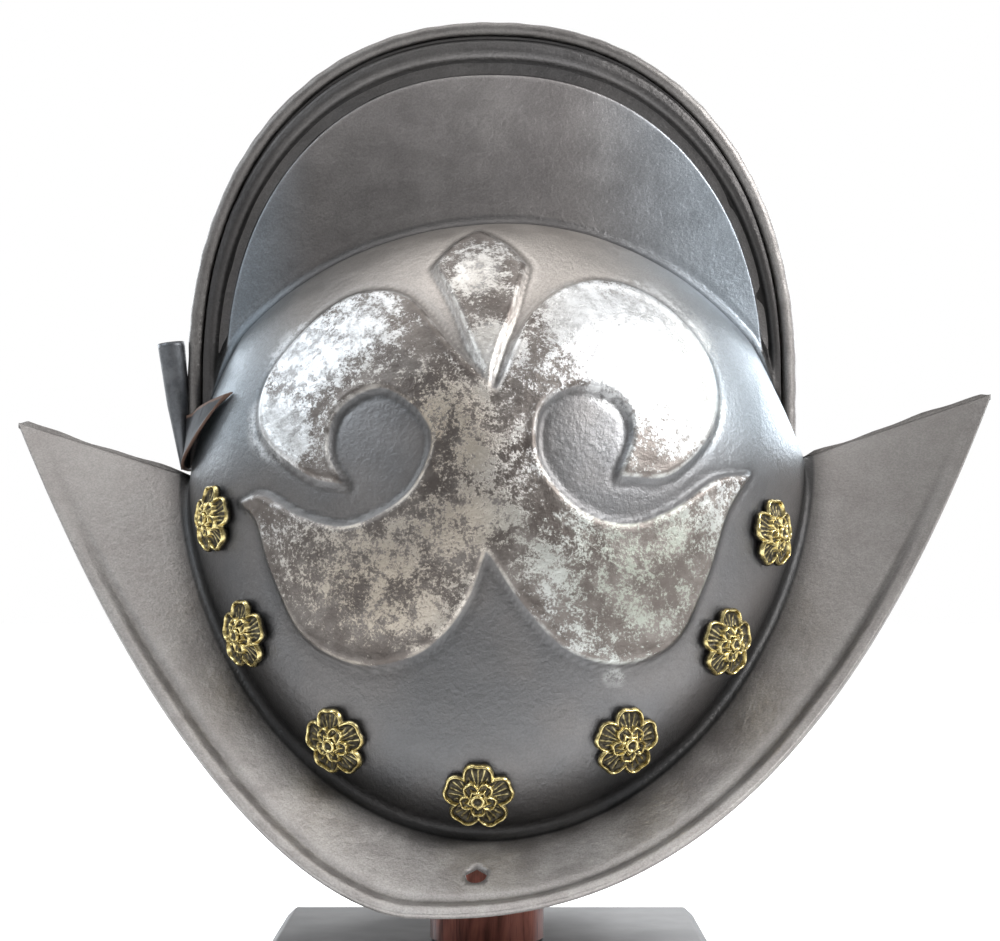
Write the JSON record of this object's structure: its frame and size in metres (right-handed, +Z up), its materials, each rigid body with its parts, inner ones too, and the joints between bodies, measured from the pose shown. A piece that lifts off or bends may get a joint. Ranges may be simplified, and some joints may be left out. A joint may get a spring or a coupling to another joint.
{
  "type": "morion helmet on a stand",
  "caption": "Two-piece steel helmet with a tall comb, a brim rising to a peak at front and back, brass rosettes, a plume holder and a raised lily on each side, on a post stand.",
  "frame": {"origin": "the point under the middle of the whole thing, on the surface that the stand rests on", "axes": "+Z up; +X towards the helmet's front peak; +Y towards the wearer's left"},
  "size_m": [0.3524, 0.2364, 0.3502],
  "materials": {
    "skull_steel": "browned and pitted, worn bright on the raised lily",
    "rosette_brass": "stamped, dark in the hollows, rubbed bright on the rims",
    "plume_steel": "dull dark sheet",
    "stand_base_paint": "satin dark grey",
    "stand_post_wood": "polished dark red-brown"
  },
  "bodies": {
    "root": {"skull_right": "skull_steel", "skull_left": "skull_steel", "rosette_right_1": "rosette_brass", "rosette_rivet_right_1": "rosette_brass", "rosette_right_2": "rosette_brass", "rosette_rivet_right_2": "rosette_brass", "rosette_right_3": "rosette_brass", "rosette_rivet_right_3": "rosette_brass", "rosette_right_4": "rosette_brass", "rosette_rivet_right_4": "rosette_brass", "rosette_right_5": "rosette_brass", "rosette_rivet_right_5": "rosette_brass", "rosette_right_6": "rosette_brass", "rosette_rivet_right_6": "rosette_brass", "rosette_right_7": "rosette_brass", "rosette_rivet_right_7": "rosette_brass", "rosette_left_1": "rosette_brass", "rosette_rivet_left_1": "rosette_brass", "rosette_left_2": "rosette_brass", "rosette_rivet_left_2": "rosette_brass", "rosette_left_3": "rosette_brass", "rosette_rivet_left_3": "rosette_brass", "rosette_left_4": "rosette_brass", "rosette_rivet_left_4": "rosette_brass", "rosette_left_5": "rosette_brass", "rosette_rivet_left_5": "rosette_brass", "rosette_left_6": "rosette_brass", "rosette_rivet_left_6": "rosette_brass", "rosette_left_7": "rosette_brass", "rosette_rivet_left_7": "rosette_brass", "plume_holder": "plume_steel", "stand_base": "stand_base_paint", "stand_post": "stand_post_wood"}
  },
  "joints": []
}
